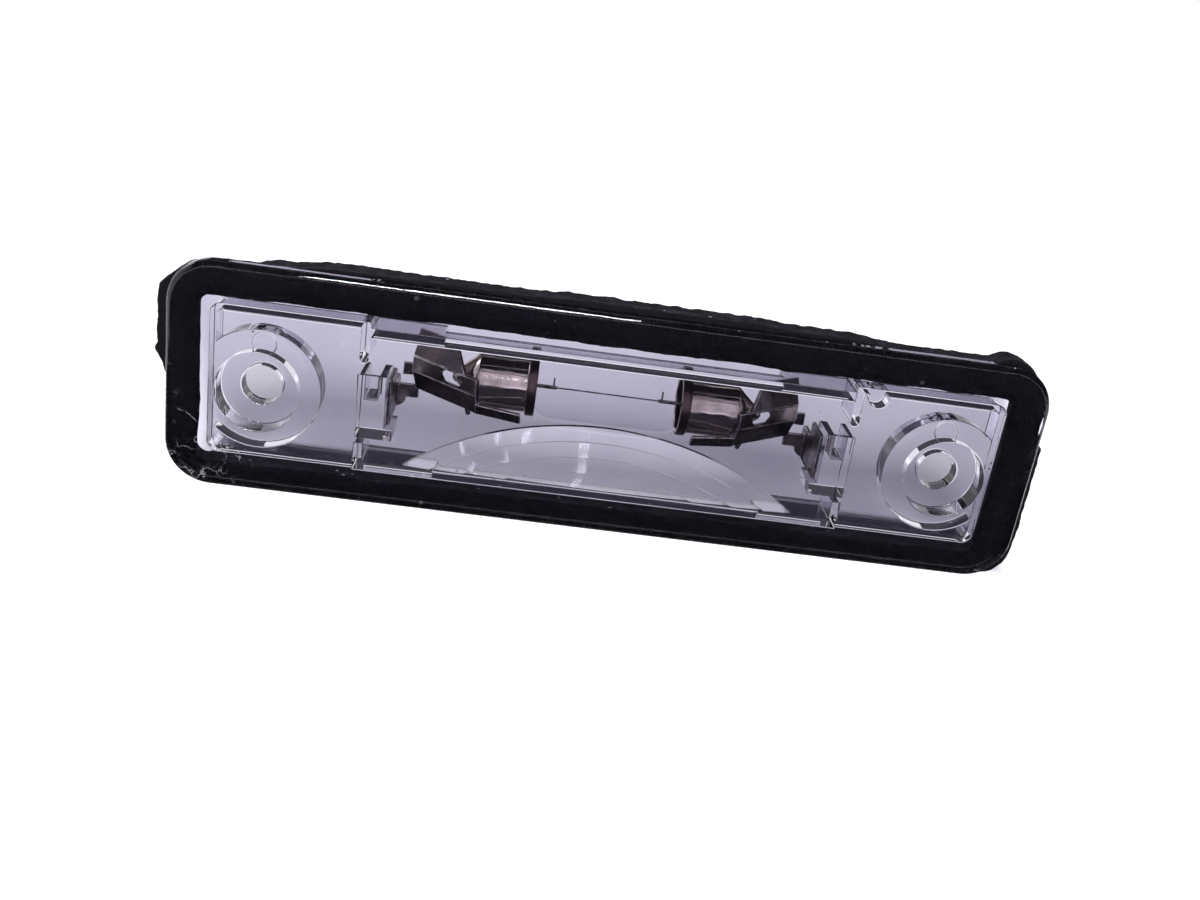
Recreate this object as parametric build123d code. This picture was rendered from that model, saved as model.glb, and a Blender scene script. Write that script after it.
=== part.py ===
from build123d import *
import math
import os

# Number plate lamp: a one-piece clear lens and bulb holder, a foam gasket behind its flange, two sprung
# contacts and a festoon bulb. The lens looks towards -Y, +Z is up and X runs along the lamp. The origin
# lies midway between the screw holes on the gasket's back face, which goes against the car body. Heights
# are measured from the row of screw holes, and depths back from the lens's front face.

# Screw holes and their bosses
HOLE_SPACING = 100.0
HOLE_D = 5.8
COUNTERBORE_D = 11.7
COUNTERBORE_DEPTH = 3.3
BOSS_D = 17.5
EJECTOR_D = 3.5
EJECTOR_DEPTH = 0.2
EJECTOR_OFFSET = 6.1

# Rim that stands behind the front plate, inside the gasket
RIM_ABOVE = 11.9
RIM_BELOW = 10.1
RIM_BEYOND_HOLE = 7.0
RIM_WALL = 0.85
RIM_CORNER = 1.5
RIM_STANDING = 3.8
GATE_D = 2.8
GATE_X = 38.2
GATE_DROP = 0.5

# Front plate, which is wider than the rim all round
PLATE_THICKNESS = 2.2
FLANGE_TOP = 6.2
FLANGE_BOTTOM = 5.0
FLANGE_END = 5.8
PLATE_CORNER = 6.5
PLATE_EDGE = 0.9

# Foam gasket
GASKET_THICKNESS = 4.2
GASKET_GAP = 1.0
GASKET_INSET = 0.2
GASKET_SHIFT = -0.4
GASKET_INNER_CORNER = 0.8

# Bulb chamber: low walls in the middle, a tall tower round the contact at each end
CHAMBER_LENGTH = 72.2
CHAMBER_STEP = 0.85
CHAMBER_DROP = 0.3
CHAMBER_WALL = 1.3
TOWER_LENGTH = 11.45
TOWER_STANDING = 7.0
END_WALL = 1.2
END_SLOT_TOP = 6.6
END_SLOT_BOTTOM = -6.3

# Prism rings on the back of the front plate, under the bulb
RING_RADIUS = 48.5
RING_PITCH = 2.45
RING_COUNT = 4
RING_HIGH = 0.9
RING_LOW = 0.12

# Festoon bulb, which its springs hold a little to the left
BULB_SHIFT = -0.1
BULB_RISE = 3.35
BULB_STANDOFF = 7.8
GLASS_R = 5.0
GLASS_WALL = 0.5
GLASS_SHOULDER = 2.6
SHOULDER_SHARE = 0.6
NECK_LENGTH = 4.0
NECK_CLEARANCE = 0.1
CAP_START = 10.7
CAP_R = 4.25
CAP_WALL = 0.35
CAP_RIM_R = 4.7
CAP_RIM_LENGTH = 1.4
CAP_BARREL = 8.6
CAP_CONE = 3.2
CAP_TIP_R = 1.2
NOSE_R = 1.0
NOSE_LENGTH = 0.8
LEAD_R = 0.28
LEAD_REACH = 3.0
TAIL_R = 0.12
TAIL_LENGTH = 1.5
TAIL_INSET = 0.5
FILAMENT_R = 0.16

# Sprung contacts
SHEET = 0.6
LEAF_CLEARANCE = 0.15
LEAF_WEB = 2.3
LEAF_LIP = 0.3
LEAF_SLOPE = 38.8
LEAF_LENGTH = 13.0
HEEL_LENGTH = 1.5
HEEL_HEIGHT = 1.9
HEEL_DROP = 0.8
WING_WIDTH = 3.2
WING_FOLD = 20.0
UPPER_WING_SETBACK = 2.4
UPPER_WING_CUT = 2.6
WINDOW_LENGTH = 4.6
WINDOW_HEIGHT = 1.9
WINDOW_CORNER = 0.8
WINDOW_PAST_NOSE = -0.1
FINGER_WIDTH = 1.6
FINGER_LENGTH = 6.9
FINGER_FORWARD = 17.0
FOOT_SETBACK = 2.4
FOOT_LENGTH = 1.0
BLADE_INSET = 4.1
BLADE_ABOVE = 2.9
BLADE_BELOW = 4.2
BLADE_PAST_HOLDER = 2.6
TAB_WIDTH = 4.8
TAB_LENGTH = 5.3
TAB_CHAMFER = 0.8
ARM_HEIGHT = 2.1
ARM_LAP = 0.4
ARM_FILLET = 1.6

# Clear holder that the contact's blade is pushed into
HOLDER_STANDING = 6.4
HOLDER_INNER = 0.8
HOLDER_MARGIN = 1.2
SLOT_DEPTH = 3.9
SLOT_CLEARANCE = 0.1
GUIDE_HEIGHT = 0.5
POCKET_WALL = 0.85
POCKET_LOW = 0.2
POCKET_HIGH = 4.6
POCKET_FLOOR = 1.0

# Worked out from the sizes above
rim_half = HOLE_SPACING / 2 + RIM_BEYOND_HOLE
rim_height = RIM_ABOVE + RIM_BELOW
rim_rise = (RIM_ABOVE - RIM_BELOW) / 2
rim_back = PLATE_THICKNESS + RIM_STANDING
plate_length = 2 * (rim_half + FLANGE_END)
plate_height = rim_height + FLANGE_TOP + FLANGE_BOTTOM
plate_rise = rim_rise + (FLANGE_TOP - FLANGE_BOTTOM) / 2
mount_depth = PLATE_THICKNESS + GASKET_THICKNESS
face_y = -mount_depth

chamber_half = CHAMBER_LENGTH / 2
chamber_top = RIM_ABOVE - CHAMBER_STEP
chamber_bottom = -RIM_BELOW - CHAMBER_DROP
chamber_floor = chamber_bottom + CHAMBER_WALL
chamber_ceiling = chamber_top - CHAMBER_WALL
tower_inner = chamber_half - TOWER_LENGTH
tower_back = PLATE_THICKNESS + TOWER_STANDING

bulb_depth = PLATE_THICKNESS + BULB_STANDOFF
bulb_y = face_y + bulb_depth
barrel_end = CAP_START + CAP_BARREL
tip_end = barrel_end + CAP_CONE
nose_end = tip_end + NOSE_LENGTH
lead_tip = CAP_START - LEAD_REACH

blade_x = chamber_half - BLADE_INSET
holder_back = PLATE_THICKNESS + HOLDER_STANDING
slot_bottom = holder_back - SLOT_DEPTH
blade_back = holder_back + BLADE_PAST_HOLDER
holder_inner = blade_x - SHEET / 2 - SLOT_CLEARANCE - HOLDER_INNER


def at_depth(depth):
    """Plane parallel to the front face, that far behind it, facing the viewer."""
    return Plane(origin=(0, face_y + depth, 0), x_dir=(1, 0, 0), z_dir=(0, -1, 0))


def prism(outline, front, back):
    """Solid with a front-view outline, from one depth to another."""
    return extrude(at_depth(back) * outline, amount=back - front)


def block(x0, x1, z0, z1, front, back):
    outline = Pos((x0 + x1) / 2, (z0 + z1) / 2) * Rectangle(x1 - x0, z1 - z0)
    return prism(outline, front, back)


def on_bulb_axis(profile):
    """Turns a profile drawn as distance along the bulb and radius about the bulb's axis."""
    return Pos(BULB_SHIFT, bulb_y, BULB_RISE) * revolve(profile, axis=Axis.X)


def both_sides(shape):
    return shape + mirror(shape, about=Plane.YZ)


def rim_outline(inset):
    length = 2 * (rim_half - inset)
    height = rim_height - 2 * inset
    return Pos(0, rim_rise) * RectangleRounded(length, height, RIM_CORNER - inset)


def front_plate():
    outline = RectangleRounded(plate_length, plate_height, PLATE_CORNER)
    plate = prism(Pos(0, plate_rise) * outline, 0, PLATE_THICKNESS)
    return fillet(plate.edges().group_by(Axis.Y)[0], PLATE_EDGE)


def end_rims():
    """The rim at both ends; in the middle the chamber's own walls take its place."""
    middle = Pos(0, rim_rise) * Rectangle(CHAMBER_LENGTH, 2 * rim_height)
    return prism(rim_outline(0) - rim_outline(RIM_WALL) - middle, PLATE_THICKNESS, rim_back)


def gate_mark():
    """Round lump under the rim's top wall where the plastic was let into the mould."""
    centre = Pos(GATE_X, RIM_ABOVE - RIM_WALL - GATE_DROP)
    return prism((centre * Circle(GATE_D / 2)) & rim_outline(0), PLATE_THICKNESS, rim_back)


def boss():
    outline = (Pos(HOLE_SPACING / 2, 0) * Circle(BOSS_D / 2)) & rim_outline(0)
    mark = Pos(HOLE_SPACING / 2, EJECTOR_OFFSET) * Circle(EJECTOR_D / 2)
    return prism(outline, PLATE_THICKNESS, rim_back) - prism(mark, rim_back - EJECTOR_DEPTH, rim_back)


def screw_hole():
    centre = Pos(HOLE_SPACING / 2, 0)
    return prism(centre * Circle(HOLE_D / 2), 0, rim_back) + prism(
        centre * Circle(COUNTERBORE_D / 2), 0, COUNTERBORE_DEPTH
    )


def long_walls():
    """Top and bottom chamber walls: as low as the rim in the middle, tall in the towers."""
    walls = []
    for low, high in ((chamber_bottom, chamber_floor), (chamber_ceiling, chamber_top)):
        walls.append(block(-chamber_half, chamber_half, low, high, PLATE_THICKNESS, rim_back))
        walls.append(both_sides(block(tower_inner, chamber_half, low, high, rim_back, tower_back)))
    return walls


def end_wall():
    """Outer wall of a tower, open between a round-ended upper rib and a square lower one."""
    middle_x = chamber_half - END_WALL / 2
    upper = Pos(middle_x, (END_SLOT_TOP + RIM_ABOVE) / 2) * Rectangle(END_WALL, RIM_ABOVE - END_SLOT_TOP)
    upper += Pos(middle_x, END_SLOT_TOP) * Circle(END_WALL / 2)
    tall_top = prism(upper, PLATE_THICKNESS, tower_back)
    outer = chamber_half - END_WALL
    tall_bottom = block(outer, chamber_half, chamber_bottom, END_SLOT_BOTTOM, PLATE_THICKNESS, tower_back)
    return tall_top + tall_bottom


def contact_holder():
    """Clear block with the slot for a contact's blade, open towards the bulb above a guide at the slot's
    lower end, and a cored-out pocket on the slot's other side."""
    low = -BLADE_BELOW - HOLDER_MARGIN
    high = BLADE_ABOVE + HOLDER_MARGIN
    body = block(holder_inner, chamber_half, low, high, PLATE_THICKNESS, holder_back)
    slot_half = SHEET / 2 + SLOT_CLEARANCE
    slot_low = -BLADE_BELOW - SLOT_CLEARANCE
    slot_high = BLADE_ABOVE + SLOT_CLEARANCE
    slot = block(blade_x - slot_half, blade_x + slot_half, slot_low, slot_high, slot_bottom, holder_back)
    pocket_inner = blade_x + slot_half + POCKET_WALL
    pocket_outer = chamber_half - POCKET_WALL
    pocket_front = PLATE_THICKNESS + POCKET_FLOOR
    pocket = block(pocket_inner, pocket_outer, POCKET_LOW, POCKET_HIGH, pocket_front, holder_back)
    gap = block(holder_inner, blade_x, GUIDE_HEIGHT - BLADE_BELOW, high, PLATE_THICKNESS, holder_back)
    return body - slot - pocket - gap


def prism_rings():
    """Concentric saw-tooth rings, cut off by the chamber's bottom wall to a low segment."""
    back_y = face_y + PLATE_THICKNESS
    inner_radius = RING_RADIUS - RING_COUNT * RING_PITCH
    profile = [(inner_radius, back_y)]
    for ring in range(RING_COUNT):
        radius = inner_radius + ring * RING_PITCH
        profile.append((radius, back_y + RING_LOW))
        profile.append((radius + RING_PITCH, back_y + RING_HIGH))
    profile.append((RING_RADIUS, back_y))
    rings = revolve(make_face(Polyline(*profile, close=True)), axis=Axis.Y)
    rings = Pos(0, 0, chamber_floor - inner_radius) * rings
    window = block(-holder_inner, holder_inner, chamber_floor, chamber_ceiling, 0, rim_back)
    return rings & window


def clear_lens():
    lens = front_plate() + end_rims() + gate_mark() + both_sides(boss()) + long_walls()
    lens += both_sides(end_wall()) + both_sides(contact_holder())
    return lens + prism_rings() - both_sides(screw_hole())


def foam_gasket():
    outer = Pos(GASKET_SHIFT, plate_rise) * RectangleRounded(
        plate_length - 2 * GASKET_INSET, plate_height - 2 * GASKET_INSET, PLATE_CORNER - GASKET_INSET
    )
    opening = Pos(GASKET_SHIFT, rim_rise) * RectangleRounded(
        2 * (rim_half + GASKET_GAP), rim_height + 2 * GASKET_GAP, GASKET_INNER_CORNER
    )
    return prism(outer - opening, PLATE_THICKNESS, mount_depth)


def bulb_glass():
    """Tube with rounded shoulders and a narrow open neck in each cap."""
    neck_r = CAP_R - CAP_WALL - NECK_CLEARANCE
    neck_end = CAP_START + NECK_LENGTH
    body_end = CAP_START - GLASS_SHOULDER
    bend_x = body_end + GLASS_SHOULDER * SHOULDER_SHARE
    bend_r = GLASS_R - (GLASS_R - neck_r) * SHOULDER_SHARE / 2
    half = [(body_end, GLASS_R), (bend_x, bend_r), (CAP_START, neck_r), (neck_end, neck_r)]
    outside = [(-x, radius) for x, radius in reversed(half)] + half
    inside = [(x, radius - GLASS_WALL) for x, radius in reversed(outside)]
    return on_bulb_axis(make_face(Polyline(*outside, *inside, close=True)))


def bulb_cap(side):
    """Thin drawn cup with a rolled rim, a conical end and a solder nose; side is 1 right, -1 left."""
    rim_end = CAP_START + CAP_RIM_LENGTH
    inner_r = CAP_R - CAP_WALL
    inner_tip = tip_end - CAP_WALL
    inner_tip_r = CAP_TIP_R - CAP_WALL
    profile = [
        (CAP_START, inner_r),
        (CAP_START, CAP_RIM_R),
        (rim_end, CAP_RIM_R),
        (rim_end, CAP_R),
        (barrel_end, CAP_R),
        (tip_end, CAP_TIP_R),
        (tip_end, NOSE_R),
        (tip_end + NOSE_LENGTH / 2, NOSE_R),
        (nose_end, NOSE_R / 2),
        (nose_end, 0),
        (inner_tip, 0),
        (inner_tip, inner_tip_r),
        (barrel_end - CAP_WALL / 2, inner_r),
    ]
    return on_bulb_axis(make_face(Polyline(*[(side * x, radius) for x, radius in profile], close=True)))


def bulb_lead(side):
    """Stiff lead wire from inside the cap's tip to the filament, whose tail is bent up beside its end."""
    length = tip_end - CAP_WALL - lead_tip
    wire = Rot(0, 90 * side, 0) * Cylinder(LEAD_R, length, align=(Align.CENTER, Align.CENTER, Align.MIN))
    tail = Cylinder(TAIL_R, TAIL_LENGTH, align=(Align.CENTER, Align.CENTER, Align.MIN))
    lead = wire + Pos(side * TAIL_INSET, 0, 0) * tail
    return Pos(BULB_SHIFT + side * lead_tip, bulb_y, BULB_RISE) * lead


def bulb_filament():
    return Pos(BULB_SHIFT, bulb_y, BULB_RISE) * (Rot(0, 90, 0) * Cylinder(FILAMENT_R, 2 * lead_tip))


def contact(side):
    """One stamping: a blade with its tab, and an arm to a two-winged leaf that bears on the cap's edge."""
    slope = math.radians(LEAF_SLOPE)
    along = Vector(math.cos(slope), math.sin(slope), 0)
    inward = Vector(-math.sin(slope), math.cos(slope), 0)
    cap_edge = barrel_end + side * BULB_SHIFT
    bearing = Vector(cap_edge, bulb_y - CAP_R, 0) - inward * (LEAF_CLEARANCE + SHEET / 2)
    leaf_front = bearing - along * LEAF_LIP
    leaf_rear = leaf_front + along * LEAF_LENGTH
    web_low = BULB_RISE - LEAF_WEB / 2
    web_high = BULB_RISE + LEAF_WEB / 2

    path = Line((leaf_rear.X, leaf_rear.Y), (leaf_front.X, leaf_front.Y))
    leaf = extrude(Pos(0, 0, web_low) * trace(path, SHEET), amount=LEAF_WEB)
    heel_low = web_low - HEEL_DROP
    heel_depth = leaf_rear.Y - face_y
    heel_front = heel_depth - SHEET / 2
    heel_end = leaf_rear.X + HEEL_LENGTH
    leaf += block(leaf_rear.X, heel_end, heel_low, heel_low + HEEL_HEIGHT, heel_front, heel_front + SHEET)

    fold = math.radians(WING_FOLD)
    wing_out = inward * math.sin(fold)
    wing_down = wing_out - Vector(0, 0, math.cos(fold))
    wing_up = wing_out + Vector(0, 0, math.cos(fold))
    lower_start = leaf_front + Vector(0, 0, web_low)
    lower_plane = Plane(origin=lower_start, x_dir=along, z_dir=along.cross(wing_down))
    lower_wing = Pos(LEAF_LENGTH / 2, WING_WIDTH / 2) * Rectangle(LEAF_LENGTH, WING_WIDTH)
    upper_start = leaf_front + Vector(0, 0, web_high)
    upper_plane = Plane(origin=upper_start, x_dir=along, z_dir=along.cross(wing_up))
    upper_wing = make_face(
        Polyline(
            (UPPER_WING_SETBACK, 0),
            (LEAF_LENGTH, 0),
            (LEAF_LENGTH, WING_WIDTH),
            (UPPER_WING_SETBACK + UPPER_WING_CUT, WING_WIDTH),
            close=True,
        )
    )
    leaf += extrude(lower_plane * lower_wing, amount=SHEET / 2, both=True)
    leaf += extrude(upper_plane * upper_wing, amount=SHEET / 2, both=True)

    window_x = nose_end + side * BULB_SHIFT + WINDOW_PAST_NOSE
    window_at = bearing + along * ((window_x - bearing.X) / along.X)
    window_plane = Plane(origin=(window_at.X, window_at.Y, BULB_RISE), x_dir=along, z_dir=inward)
    outline = Rectangle(WINDOW_LENGTH, WINDOW_HEIGHT)
    outline = chamfer(outline.vertices(), WINDOW_CORNER)
    leaf -= extrude(window_plane * outline, amount=SHEET, both=True)

    finger_dir = Vector(-math.cos(math.radians(FINGER_FORWARD)), -math.sin(math.radians(FINGER_FORWARD)), 0)
    finger_top = lower_start + wing_down * (WING_WIDTH - FINGER_WIDTH) - finger_dir * (SHEET / 2)
    finger_plane = Plane(origin=finger_top, x_dir=finger_dir, z_dir=finger_dir.cross(wing_down))
    finger = Pos(FINGER_LENGTH / 2, FINGER_WIDTH / 2) * Rectangle(FINGER_LENGTH, FINGER_WIDTH)
    leaf += extrude(finger_plane * finger, amount=SHEET / 2, both=True)

    wing_low = web_low - WING_WIDTH * math.cos(fold)
    foot = Pos(FOOT_SETBACK, WING_WIDTH) * Rectangle(SHEET, 2 * FOOT_LENGTH)
    leaf += extrude(lower_plane * foot, amount=SHEET / 2, both=True)

    sheet_left = blade_x - SHEET / 2
    sheet_right = blade_x + SHEET / 2
    blade = block(sheet_left, sheet_right, -BLADE_BELOW, BLADE_ABOVE, slot_bottom, blade_back)
    tab_top = TAB_WIDTH - BLADE_BELOW
    tab = block(sheet_left, sheet_right, -BLADE_BELOW, tab_top, blade_back, blade_back + TAB_LENGTH)
    tab = chamfer(tab.edges().filter_by(Axis.X).group_by(Axis.Y)[-1], TAB_CHAMFER)

    arm_start = leaf_rear + wing_out * WING_WIDTH
    arm_depth = arm_start.Y - face_y
    arm_top = wing_low + ARM_LAP
    arm_low = arm_top - ARM_HEIGHT
    arm_front = arm_depth - SHEET / 2
    arm_back = arm_depth + SHEET / 2
    arm = block(arm_start.X - SHEET / 2, blade_x, arm_low, arm_top, arm_front, arm_back)
    corner_web = Line((blade_x, arm_low), (blade_x, arm_low - ARM_FILLET))
    corner_web += RadiusArc((blade_x, arm_low - ARM_FILLET), (blade_x - ARM_FILLET, arm_low), ARM_FILLET)
    corner_web += Line((blade_x - ARM_FILLET, arm_low), (blade_x, arm_low))
    arm += prism(make_face(corner_web), arm_front, arm_back)
    right_hand = leaf + blade + tab + arm
    return right_hand if side > 0 else mirror(right_hand, about=Plane.YZ)


os.makedirs("parts", exist_ok=True)
export_step(clear_lens(), "parts/clear_lens.step")
export_step(foam_gasket(), "parts/foam_gasket.step")
export_step(bulb_glass(), "parts/bulb_glass.step")
export_step(bulb_filament(), "parts/bulb_filament.step")
for name, side in (("left", -1), ("right", 1)):
    export_step(contact(side), f"parts/contact_{name}.step")
    export_step(bulb_cap(side), f"parts/bulb_cap_{name}.step")
    export_step(bulb_lead(side), f"parts/bulb_lead_{name}.step")
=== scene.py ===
import math

import bmesh
import bpy
from mathutils import Matrix, Vector, noise


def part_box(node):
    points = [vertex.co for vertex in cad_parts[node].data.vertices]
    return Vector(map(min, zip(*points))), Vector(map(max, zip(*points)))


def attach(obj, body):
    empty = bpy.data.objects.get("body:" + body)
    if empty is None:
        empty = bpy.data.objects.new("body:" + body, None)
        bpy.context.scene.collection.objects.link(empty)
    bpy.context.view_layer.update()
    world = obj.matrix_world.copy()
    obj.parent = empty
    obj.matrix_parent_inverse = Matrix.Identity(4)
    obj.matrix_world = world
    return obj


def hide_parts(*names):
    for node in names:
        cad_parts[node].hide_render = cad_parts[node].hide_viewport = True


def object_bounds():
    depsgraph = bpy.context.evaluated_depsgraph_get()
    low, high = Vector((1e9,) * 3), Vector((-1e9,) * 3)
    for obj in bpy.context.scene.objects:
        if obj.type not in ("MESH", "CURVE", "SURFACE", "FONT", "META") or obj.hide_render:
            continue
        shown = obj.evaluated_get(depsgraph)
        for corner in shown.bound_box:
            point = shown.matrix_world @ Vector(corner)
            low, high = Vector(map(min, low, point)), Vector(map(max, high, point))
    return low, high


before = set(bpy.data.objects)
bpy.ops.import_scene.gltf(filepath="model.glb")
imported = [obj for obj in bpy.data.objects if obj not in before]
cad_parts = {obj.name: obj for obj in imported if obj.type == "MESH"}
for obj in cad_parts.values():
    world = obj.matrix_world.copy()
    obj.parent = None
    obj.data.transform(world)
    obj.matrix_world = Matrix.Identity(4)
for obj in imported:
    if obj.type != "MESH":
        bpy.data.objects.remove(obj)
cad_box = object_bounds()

# View: from above and a little left of the middle, close up, with the camera tilted so that the lamp runs
# downhill to the right. The lamp is held upright, as on the car, with its lens towards the camera.
MM = 0.001
LENS_MM = 35.4
SENSOR_MM = 36.0
NEAREST = 5 * MM
LIGHT_BOUNCES = 24
CLEAR_BOUNCES = 16
EYE = Vector((-12.414, -165.038, 59.278)) * MM
VIEW_RIGHT = Vector((0.989796, -0.018543, 0.141280))
VIEW_UP = Vector((-0.124774, 0.366046, 0.922194))
VIEW_BACK = Vector((-0.068815, -0.930412, 0.359997))

view_data = bpy.data.cameras.new("view")
view_data.lens = LENS_MM
view_data.sensor_width = SENSOR_MM
view_data.clip_start = NEAREST
view = bpy.data.objects.new("view", view_data)
view_turn = Matrix((VIEW_RIGHT, VIEW_UP, VIEW_BACK)).transposed().to_4x4()
view.matrix_world = Matrix.Translation(EYE) @ view_turn
bpy.context.scene.collection.objects.link(view)
bpy.context.scene.camera = view
bpy.context.scene.view_settings.view_transform = "Standard"
bpy.context.scene.cycles.max_bounces = LIGHT_BOUNCES
bpy.context.scene.cycles.transmission_bounces = LIGHT_BOUNCES
bpy.context.scene.cycles.transparent_max_bounces = CLEAR_BOUNCES

# Studio: a pale table that looks white, with a painted shadow of the lamp behind it, in a white surround,
# with a key light at the front and a cool fill. Black cards keep the surround out of the polished front face
# and darken the light that comes down into the clear walls from behind.
TABLE_HALF = 1.5
TABLE_ROUGHNESS = 0.9
TABLE_COLOUR = (0.34, 0.335, 0.361, 1.0)

# The painted shadow on the table: its places in metres, and how bright it is near the lamp and further away.
# Its darkest part is a painted contact shadow, which also darkens the table's colour. It touches the lamp
# and shows through the foot of the clear walls.
SHADOW_COLOUR = (0.89, 0.87, 1.0, 1.0)
SHADOW_MIDDLE = 0.004
SHADOW_HALF = 0.056
SHADOW_SPREAD = 0.36
SHADOW_SOFT = 0.008
SHADOW_FRONT = 0.004
SHADOW_FRONT_EDGE = -0.008
SHADOW_BACK = 0.085
SHADOW_BACK_EDGE = 0.135
SHADOW_DARK = 0.25
SHADOW_DARK_TO = 0.035
SHADOW_PALE = 0.40
SHADOW_PALE_FROM = 0.10
SHADOW_TILT = 0.9
CONTACT_SHADOW_COLOUR = (0.060, 0.058, 0.070, 1.0)
CONTACT_SHADOW_DARK = 0.05
CONTACT_SHADOW_DEEP = 0.0122
CONTACT_SHADOW_END = 0.0152

FILL_COLOUR = (0.21, 0.195, 0.275, 1.0)
CARD_COLOUR = (0.025, 0.024, 0.033, 1.0)
WHITE = (1.0, 1.0, 1.0, 1.0)


def new_material(name):
    material = bpy.data.materials.new(name)
    material.use_nodes = True
    return material, material.node_tree, material.node_tree.nodes["Principled BSDF"]


def feed(tree, socket, value):
    """Sets an input, or links it where the value comes from another node."""
    if isinstance(value, bpy.types.NodeSocket):
        tree.links.new(value, socket)
    else:
        socket.default_value = value


def add(tree, kind, values, **settings):
    node = tree.nodes.new(f"ShaderNode{kind}")
    for name, setting in settings.items():
        setattr(node, name, setting)
    for name, value in values.items():
        feed(tree, node.inputs[name], value)
    return node


def calc(tree, operation, *terms):
    return add(tree, "Math", dict(enumerate(terms)), operation=operation).outputs[0]


def fade(tree, value, start, end, low=0.0, high=1.0):
    """Goes smoothly from low to high while the value goes from start to end."""
    ends = {"Value": value, "From Min": start, "From Max": end, "To Min": low, "To Max": high}
    return add(tree, "MapRange", ends, interpolation_type="SMOOTHSTEP").outputs["Result"]


def mix_colours(tree, share, first, second):
    return add(tree, "Mix", {0: share, 6: first, 7: second}, data_type="RGBA").outputs[2]


def object_place(tree):
    return add(tree, "TexCoord", {}).outputs["Object"]


def seen_directly(tree):
    """1 for rays from the camera, from a mirror-like surface or through clear plastic, 0 for other light."""
    path = add(tree, "LightPath", {}).outputs
    in_view = calc(tree, "MAXIMUM", path["Is Camera Ray"], path["Is Glossy Ray"])
    return calc(tree, "MAXIMUM", in_view, path["Is Transmission Ray"])


def place(name, mesh):
    piece = bpy.data.objects.new(name, mesh)
    bpy.context.scene.collection.objects.link(piece)
    return piece


def plate_mesh(name, corners):
    mesh = bpy.data.meshes.new(name)
    mesh.from_pydata(corners, [], [(0, 1, 2, 3)])
    return mesh


world = bpy.data.worlds.new("studio")
bpy.context.scene.world = world
world.use_nodes = True
surround = mix_colours(world.node_tree, seen_directly(world.node_tree), FILL_COLOUR, WHITE)
feed(world.node_tree, world.node_tree.nodes["Background"].inputs["Color"], surround)

table_z = cad_box[0][2]
table_corners = [(x * TABLE_HALF, y * TABLE_HALF, 0) for x, y in ((-1, -1), (1, -1), (1, 1), (-1, 1))]
table = place("table", plate_mesh("table", table_corners))
table.location = (0, 0, table_z)
table_material, tree, bsdf = new_material("white_table")
bsdf.inputs["Roughness"].default_value = TABLE_ROUGHNESS
bsdf.inputs["Specular IOR Level"].default_value = 0.0
# Painted shadow: the table's glow, and near the lamp its colour too, are dimmed by place behind the lamp.
spot = add(tree, "SeparateXYZ", {"Vector": object_place(tree)}).outputs
aside = calc(tree, "ABSOLUTE", calc(tree, "SUBTRACT", spot["X"], SHADOW_MIDDLE))
aside = calc(tree, "SUBTRACT", aside, calc(tree, "MULTIPLY", spot["Y"], SHADOW_SPREAD))
beside = fade(tree, aside, SHADOW_HALF, SHADOW_HALF + SHADOW_SOFT)
in_front = fade(tree, spot["Y"], SHADOW_FRONT, SHADOW_FRONT_EDGE)
behind = fade(tree, spot["Y"], SHADOW_BACK, SHADOW_BACK_EDGE)
outside = calc(tree, "MAXIMUM", beside, calc(tree, "MAXIMUM", in_front, behind))
inside = fade(tree, spot["Y"], SHADOW_DARK_TO, SHADOW_PALE_FROM, SHADOW_DARK, SHADOW_PALE)
inside = calc(tree, "SUBTRACT", inside, calc(tree, "MULTIPLY", spot["X"], SHADOW_TILT))
contact_shadow = fade(tree, spot["Y"], CONTACT_SHADOW_DEEP, CONTACT_SHADOW_END, CONTACT_SHADOW_DARK, 1.0)
inside = calc(tree, "MULTIPLY", inside, contact_shadow)
clear_of_lamp = calc(tree, "MAXIMUM", contact_shadow, outside)
feed(tree, bsdf.inputs["Base Color"], mix_colours(tree, clear_of_lamp, CONTACT_SHADOW_COLOUR, TABLE_COLOUR))
lifted = calc(tree, "MULTIPLY", outside, calc(tree, "SUBTRACT", 1.0, inside))
glow = calc(tree, "MULTIPLY", calc(tree, "ADD", inside, lifted), seen_directly(tree))
white = add(tree, "Emission", {"Color": mix_colours(tree, outside, SHADOW_COLOUR, WHITE), "Strength": glow})
both = add(tree, "AddShader", {0: bsdf.outputs["BSDF"], 1: white.outputs["Emission"]})
feed(tree, tree.nodes["Material Output"].inputs["Surface"], both.outputs["Shader"])
table.data.materials.append(table_material)


def black_card(name, corners, through_plastic):
    """A card that only shows in reflections, and through the clear plastic where that is wanted."""
    card = place(name, plate_mesh(name, [Vector(corner) * MM for corner in corners]))
    material, tree, bsdf = new_material(name)
    bsdf.inputs["Base Color"].default_value = CARD_COLOUR
    bsdf.inputs["Roughness"].default_value = 1.0
    bsdf.inputs["Specular IOR Level"].default_value = 0.0
    card.data.materials.append(material)
    card.visible_camera = False
    card.visible_diffuse = False
    card.visible_shadow = False
    card.visible_transmission = through_plastic


# The cards' corners in mm: one flat on the table before the lamp, one upright behind it, and three that
# stand or hang far off round the studio.
CARD_LIFT = 0.02
STUDIO_HALF = 1200
STUDIO_TOP = 900
WALL_FOOT = 100
CEILING_BACK = 500
RIGHT_AWAY = 700
REAR_HALF = 220
REAR_AWAY = 120
REAR_FOOT = 38
REAR_TOP = 190

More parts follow.
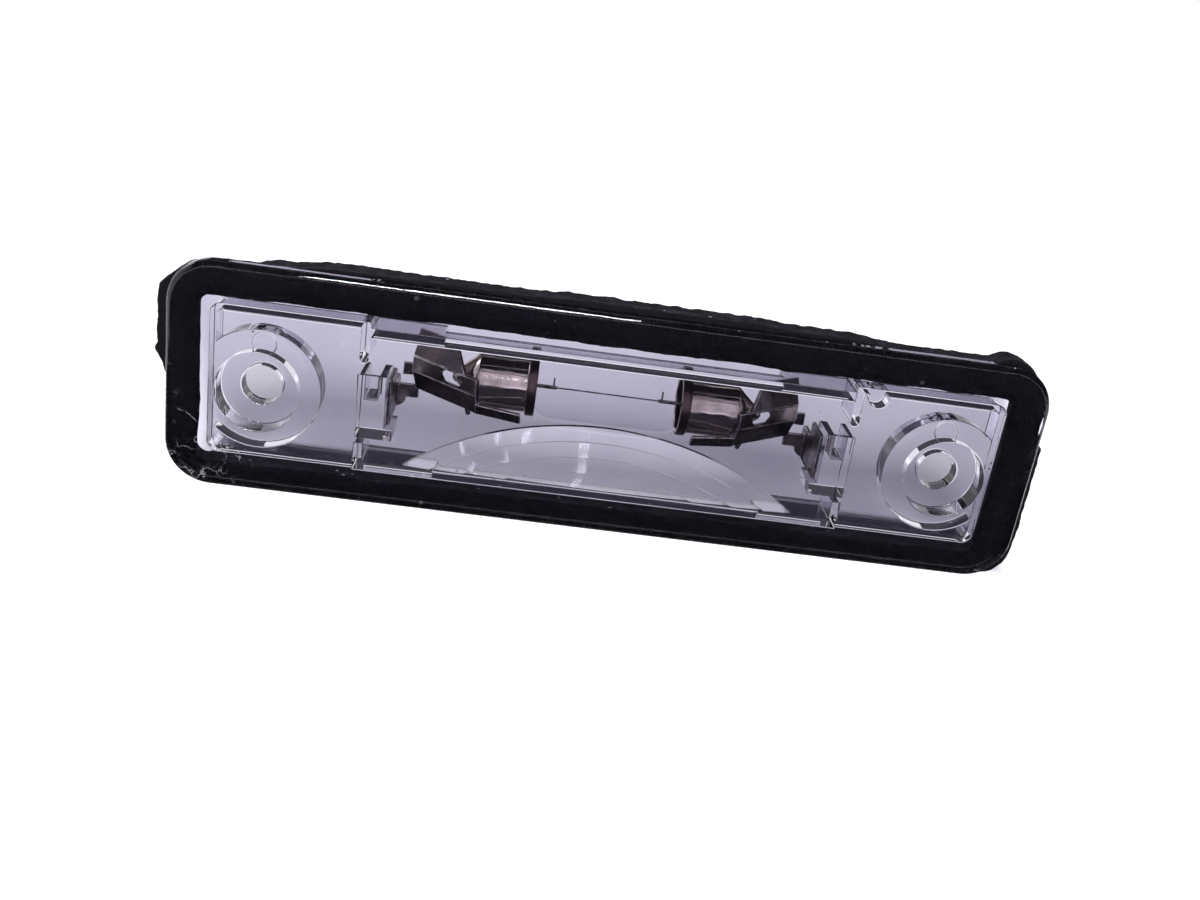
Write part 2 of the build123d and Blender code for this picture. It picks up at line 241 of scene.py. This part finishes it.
card_z = table_z / MM + CARD_LIFT
front_corners = [(-110, -2, card_z), (130, -2, card_z), (150, -150, card_z), (-130, -150, card_z)]
rear_corners = [
    (-REAR_HALF, REAR_AWAY, REAR_FOOT),
    (REAR_HALF, REAR_AWAY, REAR_FOOT),
    (REAR_HALF, REAR_AWAY, REAR_TOP),
    (-REAR_HALF, REAR_AWAY, REAR_TOP),
]
wall_corners = [
    (-STUDIO_HALF, -STUDIO_HALF, WALL_FOOT),
    (STUDIO_HALF, -STUDIO_HALF, WALL_FOOT),
    (STUDIO_HALF, -STUDIO_HALF, STUDIO_TOP),
    (-STUDIO_HALF, -STUDIO_HALF, STUDIO_TOP),
]
ceiling_corners = [
    (-STUDIO_HALF, -STUDIO_HALF, STUDIO_TOP),
    (STUDIO_HALF, -STUDIO_HALF, STUDIO_TOP),
    (STUDIO_HALF, CEILING_BACK, STUDIO_TOP),
    (-STUDIO_HALF, CEILING_BACK, STUDIO_TOP),
]
right_corners = [
    (RIGHT_AWAY, -STUDIO_HALF, 0),
    (RIGHT_AWAY, STUDIO_HALF, 0),
    (RIGHT_AWAY, STUDIO_HALF, STUDIO_TOP),
    (RIGHT_AWAY, -STUDIO_HALF, STUDIO_TOP),
]
black_card("front_card", front_corners, through_plastic=True)
black_card("rear_card", rear_corners, through_plastic=True)
black_card("wall_card", wall_corners, through_plastic=False)
black_card("ceiling_card", ceiling_corners, through_plastic=False)
black_card("right_card", right_corners, through_plastic=False)

# The lights' places and sizes in metres. The prism rings mirror a few small bars of light as glints; each
# bar is given by its distance to the right and its height.
KEY_SPOT = (-0.06, -0.62, 0.46)
KEY_WIDTH = 0.26
KEY_HEIGHT = 0.20
KEY_WATTS = 9.0
SIDE_SPOT = (-0.60, 0.30, 0.40)
SIDE_AIM = (0, 0.05, 0)
SIDE_WIDTH = 0.25
SIDE_WATTS = 0.9
LAMP_MIDDLE = (0, 0, 0)
GLINT_BARS = (
    (-0.005, 0.381),
    (-0.004, 0.367),
    (-0.016, 0.349),
    (-0.167, 0.368),
    (-0.236, 0.341),
    (-0.338, 0.311),
)
GLINT_PLANE = -0.62
GLINT_WIDTH = 0.030
GLINT_HEIGHT = 0.006
GLINT_WATTS = 0.12


def soft_light(name, spot, aim, width, height, watts):
    data = bpy.data.lights.new(name, "AREA")
    data.shape = "RECTANGLE"
    data.size = width
    data.size_y = height
    data.energy = watts
    lamp = bpy.data.objects.new(name, data)
    lamp.location = spot
    lamp.rotation_euler = (Vector(aim) - Vector(spot)).to_track_quat("-Z", "Y").to_euler()
    bpy.context.scene.collection.objects.link(lamp)
    return lamp


key = soft_light("key", KEY_SPOT, LAMP_MIDDLE, KEY_WIDTH, KEY_HEIGHT, KEY_WATTS)
key.visible_transmission = False
for number, (across, height) in enumerate(GLINT_BARS):
    bar_spot = (across, GLINT_PLANE, height)
    soft_light(f"glint_bar_{number}", bar_spot, LAMP_MIDDLE, GLINT_WIDTH, GLINT_HEIGHT, GLINT_WATTS)
soft_light("left_side", SIDE_SPOT, SIDE_AIM, SIDE_WIDTH, SIDE_WIDTH, SIDE_WATTS)

# Lens: one injection moulding of clear acrylic, slightly smoky with age, with hairline scratches on its
# front and rubbed edges. The front plate, the rim, the screw bosses, the bulb chamber and the prism rings
# are all one piece; two screws through the bosses hold it to the car.
LENS_TINT = (0.84, 0.82, 0.90, 1.0)
LENS_CLOUD = (0.76, 0.745, 0.83, 1.0)
LENS_IOR = 1.49
LENS_EDGE = 0.16 * MM
RING_ZONE = Vector((31.0, -2.9, 3.0)) * MM
RING_CREST = -3.4 * MM
PLATE_BACK = -4.2 * MM
PLATE_MIDDLE = Vector((0.0, 0.0, 1.5)) * MM
PLATE_HALF = Vector((62.8, 0.0, 16.6)) * MM
VALLEY_DEPTH = 0.3 * MM
LENS_POLISH = 0.03
MARK_ROUGHNESS = 0.4
RIPPLE_DEPTH = 0.012 * MM
RUBBED_WIDTH = 0.5 * MM
RUBBED_SHOWS = 0.05
RUBBED_FROM = 0.52
RUBBED_FULL = 0.66
SPECK_SHOWS = 0.12
EDGE_SPECK_COVER = 0.10
SCRATCH_SPOT = Vector((-57.0, -6.4, -8.5)) * MM
SCRATCH_REACH = 9.5 * MM
SCRATCH_CORE = 0.45 * SCRATCH_REACH
SCRATCH_LINE = 0.011
SCRATCH_BEND = 0.004
SCRATCHED_FROM = 0.50
SCRATCHED_FULL = 0.62
CLOUD_FROM = 0.4
CLOUD_FULL = 0.7
# The grey of a painted glow on the scratches, rubbed edges and specks.
MARK_GLOW = (0.30, 0.295, 0.33, 1.0)
GRIT_DARK = (0.10, 0.09, 0.10, 1.0)
BLACK = (0.0, 0.0, 0.0, 1.0)
WELD = 1e-6
FLAT = math.radians(0.1)
CORNER = math.radians(40)
CREASE = math.radians(60)


def rounded_copy(node, radius, steps, corner=CORNER, left_sharp=lambda edge: False, edge_slot=-1):
    """A piece with a CAD node's form and rounded edges. Facets that lie in one plane are joined first, so
    that each real edge is one run; then every edge that turns by more than the corner angle is rounded."""
    work = bmesh.new()
    work.from_mesh(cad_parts[node].data)
    bmesh.ops.remove_doubles(work, verts=work.verts, dist=WELD)
    bmesh.ops.dissolve_limit(work, angle_limit=FLAT, verts=work.verts, edges=work.edges)
    edges = [edge for edge in work.edges if edge.calc_face_angle(0) > corner and not left_sharp(edge)]
    bmesh.ops.bevel(
        work,
        geom=edges,
        offset=radius,
        offset_type="OFFSET",
        segments=steps,
        profile=0.5,
        affect="EDGES",
        clamp_overlap=False,
        material=edge_slot,
    )
    for face in work.faces:
        face.smooth = True
    for edge in work.edges:
        edge.smooth = edge.calc_face_angle(0) < CREASE
    mesh = bpy.data.meshes.new(f"{node}_rounded")
    work.to_mesh(mesh)
    work.free()
    if "custom_normal" in mesh.attributes:
        mesh.attributes.remove(mesh.attributes["custom_normal"])
    piece = place(f"{node}_rounded", mesh)
    flat_faces = piece.modifiers.new("flat_faces", "WEIGHTED_NORMAL")
    flat_faces.keep_sharp = True
    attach(piece, "root")
    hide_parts(node)
    return piece


def in_ring_valley(edge):
    """Edges of the prism rings that stay sharp: all of them except the crests."""
    on_rings = any(
        abs(corner.co.x) < RING_ZONE.x
        and PLATE_BACK - VALLEY_DEPTH < corner.co.y < RING_ZONE.y
        and corner.co.z < RING_ZONE.z
        for corner in edge.verts
    )
    return on_rings and any(corner.co.y < RING_CREST for corner in edge.verts)


def effect_group(name, inputs, outputs):
    """A node group with number inputs and outputs; gives its tree, its input sockets and its output node."""
    tree = bpy.data.node_groups.new(name, "ShaderNodeTree")
    for socket, value in inputs.items():
        made = tree.interface.new_socket(socket, in_out="INPUT", socket_type="NodeSocketFloat")
        made.default_value = value
    for socket in outputs:
        tree.interface.new_socket(socket, in_out="OUTPUT", socket_type="NodeSocketFloat")
    return tree, tree.nodes.new("NodeGroupInput").outputs, tree.nodes.new("NodeGroupOutput")


def placed_group(tree, group, values):
    node = tree.nodes.new("ShaderNodeGroup")
    node.node_tree = group
    for name, value in values.items():
        feed(tree, node.inputs[name], value)
    return node.outputs


# Dust: round specks of mixed sizes, in a random share of cells of a given size. A speck's radius is given as
# a share of its cell.
SPECK_SMALL = 0.05
SPECK_LARGE = 0.22

dust_group, given, result = effect_group("dust", {"Cell": 0.001, "Cover": 0.2}, ("Specks",))
per_metre = calc(dust_group, "DIVIDE", 1.0, given["Cell"])
cells = add(dust_group, "TexVoronoi", {"Vector": object_place(dust_group), "Scale": per_metre}).outputs
tints = add(dust_group, "SeparateColor", {"Color": cells["Color"]}).outputs
speck_size = fade(dust_group, tints["Green"], 0.0, 1.0, SPECK_SMALL, SPECK_LARGE)
on_speck = calc(dust_group, "LESS_THAN", cells["Distance"], speck_size)
chosen = calc(dust_group, "LESS_THAN", tints["Red"], given["Cover"])
feed(dust_group, result.inputs["Specks"], calc(dust_group, "MULTIPLY", on_speck, chosen))

lens_material, tree, bsdf = new_material("clear_plastic")
where = object_place(tree)
cloud = add(tree, "TexNoise", {"Vector": where, "Scale": 60.0, "Detail": 3.0}).outputs["Fac"]
ripple = add(tree, "TexNoise", {"Vector": where, "Scale": 170.0, "Detail": 1.0}).outputs["Fac"]
grime = add(tree, "TexNoise", {"Vector": where, "Scale": 900.0, "Detail": 4.0, "Roughness": 0.7})
wobble = add(tree, "TexNoise", {"Vector": where, "Scale": 700.0, "Detail": 2.0}).outputs["Color"]
bent = add(tree, "MixRGB", {"Fac": SCRATCH_BEND, "Color1": where, "Color2": wobble}).outputs["Color"]
cracks = add(tree, "TexVoronoi", {"Vector": bent, "Scale": 210.0}, feature="DISTANCE_TO_EDGE").outputs
on_crack = calc(tree, "LESS_THAN", cracks["Distance"], SCRATCH_LINE)
spot_away = add(tree, "VectorMath", {0: where, 1: SCRATCH_SPOT}, operation="DISTANCE").outputs["Value"]
near_spot = fade(tree, spot_away, SCRATCH_CORE, SCRATCH_REACH, 1.0, 0.0)
patches = add(tree, "TexNoise", {"Vector": where, "Scale": 330.0}).outputs["Fac"]
patchy = fade(tree, patches, SCRATCHED_FROM, SCRATCHED_FULL)
hairline = calc(tree, "MULTIPLY", on_crack, calc(tree, "MULTIPLY", near_spot, patchy))
from_middle = add(tree, "VectorMath", {0: where, 1: PLATE_MIDDLE}, operation="SUBTRACT").outputs["Vector"]
sides = add(tree, "SeparateXYZ", {"Vector": from_middle}).outputs
to_end = calc(tree, "SUBTRACT", calc(tree, "ABSOLUTE", sides["X"]), PLATE_HALF.x - RUBBED_WIDTH)
to_top = calc(tree, "SUBTRACT", calc(tree, "ABSOLUTE", sides["Z"]), PLATE_HALF.z - RUBBED_WIDTH)
on_edge = fade(tree, calc(tree, "MAXIMUM", to_end, to_top), 0.0, RUBBED_WIDTH)
rubbed = calc(tree, "MULTIPLY", on_edge, fade(tree, grime.outputs["Fac"], RUBBED_FROM, RUBBED_FULL))
specks = placed_group(tree, dust_group, {"Cell": 0.0016, "Cover": 0.05})["Specks"]
edge_cover = calc(tree, "MULTIPLY", on_edge, EDGE_SPECK_COVER)
edge_specks = placed_group(tree, dust_group, {"Cell": 0.0007, "Cover": edge_cover})["Specks"]
wear_and_glow = calc(tree, "MAXIMUM", hairline, edge_specks)
wear_and_glow = calc(tree, "MAXIMUM", wear_and_glow, calc(tree, "MULTIPLY", rubbed, RUBBED_SHOWS))
wear_and_glow = calc(tree, "MAXIMUM", wear_and_glow, calc(tree, "MULTIPLY", specks, SPECK_SHOWS))
grit = placed_group(tree, dust_group, {"Cell": 0.0011, "Cover": 0.05})["Specks"]
clouded = mix_colours(tree, fade(tree, cloud, CLOUD_FROM, CLOUD_FULL), LENS_TINT, LENS_CLOUD)
feed(tree, bsdf.inputs["Base Color"], mix_colours(tree, grit, clouded, GRIT_DARK))
feed(tree, bsdf.inputs["Roughness"], fade(tree, wear_and_glow, 0.0, 1.0, LENS_POLISH, MARK_ROUGHNESS))
# The scratches, rubbed edges and specks are real wear in the roughness, and get a painted grey glow as
# emission.
feed(tree, bsdf.inputs["Emission Color"], mix_colours(tree, wear_and_glow, BLACK, MARK_GLOW))
bsdf.inputs["Emission Strength"].default_value = 1.0
bsdf.inputs["IOR"].default_value = LENS_IOR
bsdf.inputs["Transmission Weight"].default_value = 1.0
moulded = add(tree, "Bump", {"Height": ripple, "Strength": 1.0, "Distance": RIPPLE_DEPTH})
feed(tree, bsdf.inputs["Normal"], moulded.outputs["Normal"])
lens = rounded_copy("clear_lens", LENS_EDGE, steps=3, left_sharp=in_ring_valley)
lens.data.materials.append(lens_material)

# Gasket: a frame stamped from closed-cell black foam, laid loosely behind the lens's flange. It is worn: it
# bulges out past the plate along the top and on both sides, and its top left corner is torn off.
FOAM_HALF = Vector((62.6, 16.4))
FOAM_MIDDLE = Vector((-0.4, 1.5))
FOAM_CORNER = 6.3
OPENING_HALF = Vector((58.0, 12.0))
OPENING_MIDDLE = Vector((-0.4, 0.9))
OPENING_CORNER = 1.2
FOAM_FRONT = -4.15
FOAM_BACK = 0.0
LONG_STATIONS = 240
SHORT_STATIONS = 52
CORNER_STATIONS = 14
ACROSS_STEPS = (0.05, 0.2, 0.4, 0.6, 0.8, 0.95)
DEPTH_STEPS = (0.07, 0.2, 0.35, 0.5, 0.65, 0.8, 0.93)
SIDE_LEAN = 1.15
BOTTOM_DROP = 0.65
FOAM_LOWEST = -15.05
CRUMB = 1.3
CRUMB_SHARE = 0.65
FINE_CELL = 0.45
FINE_SHARE = 0.35
OUTER_ROUGHNESS = 0.28
OPENING_ROUGHNESS = 0.16
FRONT_ROUGHNESS = 0.05
BACK_ROUGHNESS = 0.12
OPENING_WAVE = 0.3
WAVE_LENGTH = 7

# The worn outer edge, in mm. A bulge is its height, where it begins and ends along its side, and the length
# of its slopes; a height below 0 is a dent.
TOP_BULGES = ((0.7, -40, 32, 8), (0.3, -6, 18, 8), (0.9, 56, 58.5, 2.5), (-0.8, -59, -52, 3))
LEFT_BULGES = ((1.55, 4, 13, 5), (0.35, 3.8, 4.2, 0.7))
RIGHT_BULGES = ((1.5, -20, 5.5, 2.0), (0.4, 13.5, 20, 1.5))
BOTTOM_BULGES = ((0.3, 44, 52, 9),)
RIGHT_OUT = 0.5
BOTTOM_OUT = 0.2
SQUARE_CORNER = 1.1
TORN_CORNER = Vector((-64.9, 13.0))
TORN_FACING = Vector((-0.651, 0.759))

FOAM_COLOUR = (0.010, 0.0095, 0.0125, 1.0)
FOAM_PALE = (0.024, 0.023, 0.030, 1.0)
PALE_FROM = 0.42
PALE_FULL = 0.68
FOAM_DUST = (0.25, 0.25, 0.28, 1.0)
# Painted shade: the foam's front face, behind the lens plate, is made darker than the rest.
FOAM_FRONT_SHADE = (0.004, 0.0038, 0.005, 1.0)
FRONT_SHADE_FROM = -3.9 * MM
FRONT_SHADE_FULL = -4.05 * MM
FOAM_SMOOTH = 0.78
FOAM_ROUGH = 0.97
BUBBLE_DEPTH = 0.12 * MM


def frame_outline(half, corner, middle):
    """Stations clockwise round a rounded rectangle, each with its outward direction. The number of stations
    doesn't depend on the size, so two outlines pair up."""
    stations = []
    for side in range(4):
        facing = math.pi / 2 * (1 - side)
        out = Vector((math.cos(facing), math.sin(facing)))
        along = Vector((out.y, -out.x))
        reach, span = (half.y, half.x) if side % 2 == 0 else (half.x, half.y)
        count = LONG_STATIONS if side % 2 == 0 else SHORT_STATIONS
        for step in range(count):
            offset = (span - corner) * (2 * step / count - 1)
            stations.append((middle + out * reach + along * offset, out))
        centre = middle + out * (reach - corner) + along * (span - corner)
        for step in range(CORNER_STATIONS):
            angle = facing - math.pi / 2 * step / CORNER_STATIONS
            turned = Vector((math.cos(angle), math.sin(angle)))
            stations.append((centre + turned * corner, turned))
    return stations


def plateau(value, low, high, slope):
    """1 between low and high, falling smoothly to 0 over the slope on both sides."""
    share = min(max(min(value - low, high - value) / slope + 1, 0), 1)
    return share * share * (3 - 2 * share)


def bulged(bulges, along):
    return sum(height * plateau(along, low, high, slope) for height, low, high, slope in bulges)


def worn_outside(point, out):
    """Where the worn foam's outer edge lies, from a point of its stamped outline."""
    x, z = point
    upright = bulged(TOP_BULGES, x) if out.y > 0 else BOTTOM_OUT + bulged(BOTTOM_BULGES, x)
    sideways = RIGHT_OUT + bulged(RIGHT_BULGES, z) if out.x > 0 else bulged(LEFT_BULGES, z)
    square = SQUARE_CORNER * 4 * (out.x * out.y) ** 2 if out.x > 0 and out.y < 0 else 0.0
    moved = point + out * (upright * out.y**2 + sideways * out.x**2 + square)
    past = (moved - TORN_CORNER).dot(TORN_FACING)
    return moved - TORN_FACING * past if past > 0 and x < 0 else moved


def crumbled(x, y, z):
    """Roughness of cut foam at a point, from -1 to 1, out of coarse crumbs and fine cells."""
    coarse = noise.noise((x / CRUMB, y / CRUMB, z / CRUMB))
    fine = noise.noise((x / FINE_CELL, y / FINE_CELL, z / FINE_CELL))
    return CRUMB_SHARE * coarse + FINE_SHARE * fine


def gasket_mesh():
    section = [(across, 0.0) for across in ACROSS_STEPS] + [(1.0, depth) for depth in DEPTH_STEPS]
    section += [(1 - across, 1.0) for across in ACROSS_STEPS] + [(0.0, 1 - depth) for depth in DEPTH_STEPS]
    outside = frame_outline(FOAM_HALF, FOAM_CORNER, FOAM_MIDDLE)
    opening = frame_outline(OPENING_HALF, OPENING_CORNER, OPENING_MIDDLE)
    points = []
    for (outer, outer_out), (inner, inner_out) in zip(outside, opening):
        outer = worn_outside(outer, outer_out)
        wave = OPENING_WAVE * noise.noise((inner.x / WAVE_LENGTH, 0.0, inner.y / WAVE_LENGTH))
        for across, depth in section:
            lean = SIDE_LEAN * depth * abs(inner_out.x) + BOTTOM_DROP * max(-inner_out.y, 0)
            spot = outer.lerp(inner + inner_out * (lean - wave), across)
            y = FOAM_FRONT + (FOAM_BACK - FOAM_FRONT) * depth
            rough = crumbled(spot.x, y, spot.y)
            if across == 0.0:
                spot = spot + outer_out * OUTER_ROUGHNESS * rough
            elif across == 1.0:
                spot = spot + inner_out * OPENING_ROUGHNESS * rough
            elif depth == 0.0:
                y += FRONT_ROUGHNESS * abs(rough)
            else:
                y -= BACK_ROUGHNESS * abs(rough)
            points.append(Vector((spot.x, y, max(spot.y, FOAM_LOWEST))) * MM)
    rows, columns = len(outside), len(section)
    faces = [
        (
            row * columns + column,
            row * columns + (column + 1) % columns,
            (row + 1) % rows * columns + (column + 1) % columns,
            (row + 1) % rows * columns + column,
        )
        for row in range(rows)
        for column in range(columns)
    ]
    mesh = bpy.data.meshes.new("foam_frame")
    mesh.from_pydata(points, [], faces)
    mesh.shade_smooth()
    return mesh


foam_material, tree, bsdf = new_material("black_foam")
where = object_place(tree)
mottle = add(tree, "TexNoise", {"Vector": where, "Scale": 420.0, "Detail": 5.0, "Roughness": 0.65})
patches = mottle.outputs["Fac"]
cells = add(tree, "TexVoronoi", {"Vector": where, "Scale": 3600.0}).outputs["Distance"]
specks = placed_group(tree, dust_group, {"Cell": 0.0011, "Cover": 0.10})["Specks"]
foam_tint = mix_colours(tree, fade(tree, patches, PALE_FROM, PALE_FULL), FOAM_COLOUR, FOAM_PALE)
foam_tint = mix_colours(tree, specks, foam_tint, FOAM_DUST)
# Painted shade on the front face, by depth.
depth = add(tree, "SeparateXYZ", {"Vector": where}).outputs["Y"]
front_shade = fade(tree, depth, FRONT_SHADE_FROM, FRONT_SHADE_FULL)
feed(tree, bsdf.inputs["Base Color"], mix_colours(tree, front_shade, foam_tint, FOAM_FRONT_SHADE))
feed(tree, bsdf.inputs["Roughness"], fade(tree, patches, 0.3, 0.7, FOAM_SMOOTH, FOAM_ROUGH))
bsdf.inputs["Specular IOR Level"].default_value = 0.1
uneven = calc(tree, "ADD", cells, patches)
bubbles = add(tree, "Bump", {"Height": uneven, "Strength": 0.8, "Distance": BUBBLE_DEPTH})
feed(tree, bsdf.inputs["Normal"], bubbles.outputs["Normal"])
gasket = place("foam_frame", gasket_mesh())
gasket.data.materials.append(foam_material)
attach(gasket, "root")
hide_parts("foam_gasket")

# Contacts: two mirror-image stampings of plated spring steel. Each is pushed into the lens's clear holder by
# its blade and bears with a leaf on the bulb's cap. The plating has dulled to a brown grey. Every rounded
# edge
# gets a pale metal: bare steel at the cut edges, and a painted highlight along the folds.
SHEET_EDGE = 0.10 * MM
SHEET_CORNER = math.radians(15)
BULB_AXIS = Vector((0.0, 3.6, 3.35)) * MM
WINDOW_NEAR = 20.9 * MM
WINDOW_FAR = 25.7 * MM
WINDOW_RISE = 1.0 * MM
STEEL_DARK = (0.075, 0.062, 0.068, 1.0)
STEEL_LIGHT = (0.20, 0.165, 0.175, 1.0)
BARE_EDGE_SHINE = (0.85, 0.81, 0.85, 1.0)
STEEL_STAIN = 4.5 * MM
CUT_STAIN = 1.5 * MM

# Tarnish: cloudy stains from large to small, and the fine grain of drawn metal.
STAIN_FROM = 0.32
STAIN_FULL = 0.68
GRAIN_FINER = 14.0
GRAIN_DEPTH = 0.02 * MM

tarnish_group, given, result = effect_group("tarnish", {"Size": 0.004}, ("Stain", "Grain"))
per_metre = calc(tarnish_group, "DIVIDE", 1.0, given["Size"])
where = object_place(tarnish_group)
stain = add(
    tarnish_group, "TexNoise", {"Vector": where, "Scale": per_metre, "Detail": 6.0, "Roughness": 0.6}
)
fine = calc(tarnish_group, "MULTIPLY", per_metre, GRAIN_FINER)
grain = add(tarnish_group, "TexNoise", {"Vector": where, "Scale": fine, "Detail": 2.0})
stained = fade(tarnish_group, stain.outputs["Fac"], STAIN_FROM, STAIN_FULL)
feed(tarnish_group, result.inputs["Stain"], stained)
feed(tarnish_group, result.inputs["Grain"], grain.outputs["Fac"])


def tarnished_metal(name, dark, light, size, smooth, dull):
    material, tree, bsdf = new_material(name)
    tarnish = placed_group(tree, tarnish_group, {"Size": size})
    feed(tree, bsdf.inputs["Base Color"], mix_colours(tree, tarnish["Stain"], dark, light))
    feed(tree, bsdf.inputs["Roughness"], fade(tree, tarnish["Stain"], 0.0, 1.0, dull, smooth))
    bsdf.inputs["Metallic"].default_value = 1.0
    drawn = add(tree, "Bump", {"Height": tarnish["Grain"], "Strength": 0.35, "Distance": GRAIN_DEPTH})
    feed(tree, bsdf.inputs["Normal"], drawn.outputs["Normal"])
    return material


def on_window(edge):
    """Edges of the hole in the leaf, which leaves only a narrow strip of metal above and below it."""
    return all(
        WINDOW_NEAR < abs(corner.co.x) < WINDOW_FAR and abs(corner.co.z - BULB_AXIS.z) < WINDOW_RISE
        for corner in edge.verts
    )


steel = tarnished_metal("contact_steel", STEEL_DARK, STEEL_LIGHT, STEEL_STAIN, smooth=0.24, dull=0.42)
# Pale metal on every rounded edge: bare at the cut edges, a painted highlight on the folds.
bare_steel_and_shine = tarnished_metal("bare_steel_and_shine", STEEL_LIGHT, BARE_EDGE_SHINE, CUT_STAIN, smooth=0.30, dull=0.45)
for side in ("left", "right"):
    stamping = rounded_copy(
        f"contact_{side}", SHEET_EDGE, steps=2, corner=SHEET_CORNER, left_sharp=on_window, edge_slot=1
    )
    stamping.data.materials.append(steel)
    stamping.data.materials.append(bare_steel_and_shine)

# Bulb caps: drawn metal cups crimped and cemented on the glass, with a conical end and a drop of solder at
# the tip. The barrel is still bright, and the rolled rim has gone brown.
CAP_EDGE = 0.2 * MM
CAP_STAIN = 5.0 * MM
CAP_POLISH = 0.10
CAP_DULL = 0.22
DENT_DEPTH = 0.25 * MM
RIM_STARTS = 4.45 * MM
RIM_SOFT = 0.08 * MM
RIM_DULLER = 0.18
BARREL_DARK = (0.34, 0.29, 0.275, 1.0)
BARREL_LIGHT = (0.66, 0.575, 0.535, 1.0)
RIM_BROWN = (0.085, 0.058, 0.060, 1.0)

cap_metal, tree, bsdf = new_material("bulb_cap_metal")
tarnish = placed_group(tree, tarnish_group, {"Size": CAP_STAIN})
where = object_place(tree)
from_axis = add(tree, "VectorMath", {0: where, 1: BULB_AXIS}, operation="SUBTRACT").outputs["Vector"]
across = add(tree, "VectorMath", {0: from_axis, 1: (0.0, 1.0, 1.0)}, operation="MULTIPLY").outputs["Vector"]
radius = add(tree, "VectorMath", {0: across}, operation="LENGTH").outputs["Value"]
on_rim = fade(tree, radius, RIM_STARTS - RIM_SOFT, RIM_STARTS + RIM_SOFT)
barrel = mix_colours(tree, tarnish["Stain"], BARREL_DARK, BARREL_LIGHT)
feed(tree, bsdf.inputs["Base Color"], mix_colours(tree, on_rim, barrel, RIM_BROWN))
barrel_dull = fade(tree, tarnish["Stain"], 0.0, 1.0, CAP_DULL, CAP_POLISH)
rim_dull = calc(tree, "MULTIPLY", on_rim, RIM_DULLER)
feed(tree, bsdf.inputs["Roughness"], calc(tree, "ADD", barrel_dull, rim_dull))
bsdf.inputs["Metallic"].default_value = 1.0
dents = add(tree, "TexNoise", {"Vector": where, "Scale": 330.0, "Detail": 1.0}).outputs["Fac"]
dented = add(tree, "Bump", {"Height": dents, "Strength": 0.5, "Distance": DENT_DEPTH})
feed(tree, bsdf.inputs["Normal"], dented.outputs["Normal"])
for side in ("left", "right"):
    cap = rounded_copy(f"bulb_cap_{side}", CAP_EDGE, steps=3)
    cap.data.materials.append(cap_metal)

# Bulb glass: a thin tube of drawn glass with shoulders that run into the caps, where it is cemented. It is
# clean and hardly shows behind the lens, so its index is set close to that of air.
GLASS_CLEAR = (0.99, 0.985, 0.99, 1.0)
GLASS_SMOKE = (0.95, 0.945, 0.96, 1.0)
GLASS_IOR = 1.005

glass_material, tree, bsdf = new_material("bulb_glass")
smoke = add(tree, "TexNoise", {"Vector": object_place(tree), "Scale": 120.0, "Detail": 3.0}).outputs["Fac"]
feed(tree, bsdf.inputs["Base Color"], mix_colours(tree, smoke, GLASS_CLEAR, GLASS_SMOKE))
bsdf.inputs["Roughness"].default_value = 0.0
bsdf.inputs["IOR"].default_value = GLASS_IOR
bsdf.inputs["Transmission Weight"].default_value = 1.0
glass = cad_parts["bulb_glass"]
glass.data.materials.clear()
glass.data.materials.append(glass_material)

# Filament: a close coil of tungsten wire, strung straight along the bulb inside the glass. Two stiff lead
# wires of grey metal, one from each cap, hold it by its ends.
COIL_R = 0.10
COIL_WIRE_R = 0.035
COIL_PITCH = 0.1
COIL_STEPS = 10
COIL_SIDES = 5
WIRE_DARK = (0.07, 0.065, 0.07, 1.0)
WIRE_LIGHT = (0.22, 0.205, 0.215, 1.0)
WIRE_STAIN = 1.2 * MM


def coil_mesh(low, high):
    """Round wire wound along X between two corners of the space that the filament takes."""
    middle = (low + high) / 2
    turns = int((high.x - low.x) / (COIL_PITCH * MM))
    stations = turns * COIL_STEPS + 1
    points, faces = [], []
    for station in range(stations):
        angle = 2 * math.pi * station / COIL_STEPS
        out = Vector((0.0, math.cos(angle), math.sin(angle)))
        start = Vector((low.x + (high.x - low.x) * station / (stations - 1), middle.y, middle.z))
        for corner in range(COIL_SIDES):
            turn = 2 * math.pi * corner / COIL_SIDES
            lift = out * (COIL_R + COIL_WIRE_R * math.cos(turn)) * MM
            points.append(start + lift + Vector((COIL_WIRE_R * math.sin(turn) * MM, 0.0, 0.0)))
    for station in range(stations - 1):
        for corner in range(COIL_SIDES):
            following = (corner + 1) % COIL_SIDES
            first, second = station * COIL_SIDES, (station + 1) * COIL_SIDES
            faces.append((first + corner, first + following, second + following, second + corner))
    last = (stations - 1) * COIL_SIDES
    faces.append(tuple(reversed(range(COIL_SIDES))))
    faces.append(tuple(range(last, last + COIL_SIDES)))
    mesh = bpy.data.meshes.new("filament_coil")
    mesh.from_pydata(points, [], faces)
    mesh.shade_smooth()
    return mesh


wire_material = tarnished_metal("lead_wire", WIRE_DARK, WIRE_LIGHT, WIRE_STAIN, smooth=0.3, dull=0.5)
coil = place("filament_coil", coil_mesh(*[Vector(corner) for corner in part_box("bulb_filament")]))
coil.data.materials.append(wire_material)
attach(coil, "root")
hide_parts("bulb_filament")
for side in ("left", "right"):
    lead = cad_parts[f"bulb_lead_{side}"]
    lead.data.materials.clear()
    lead.data.materials.append(wire_material)
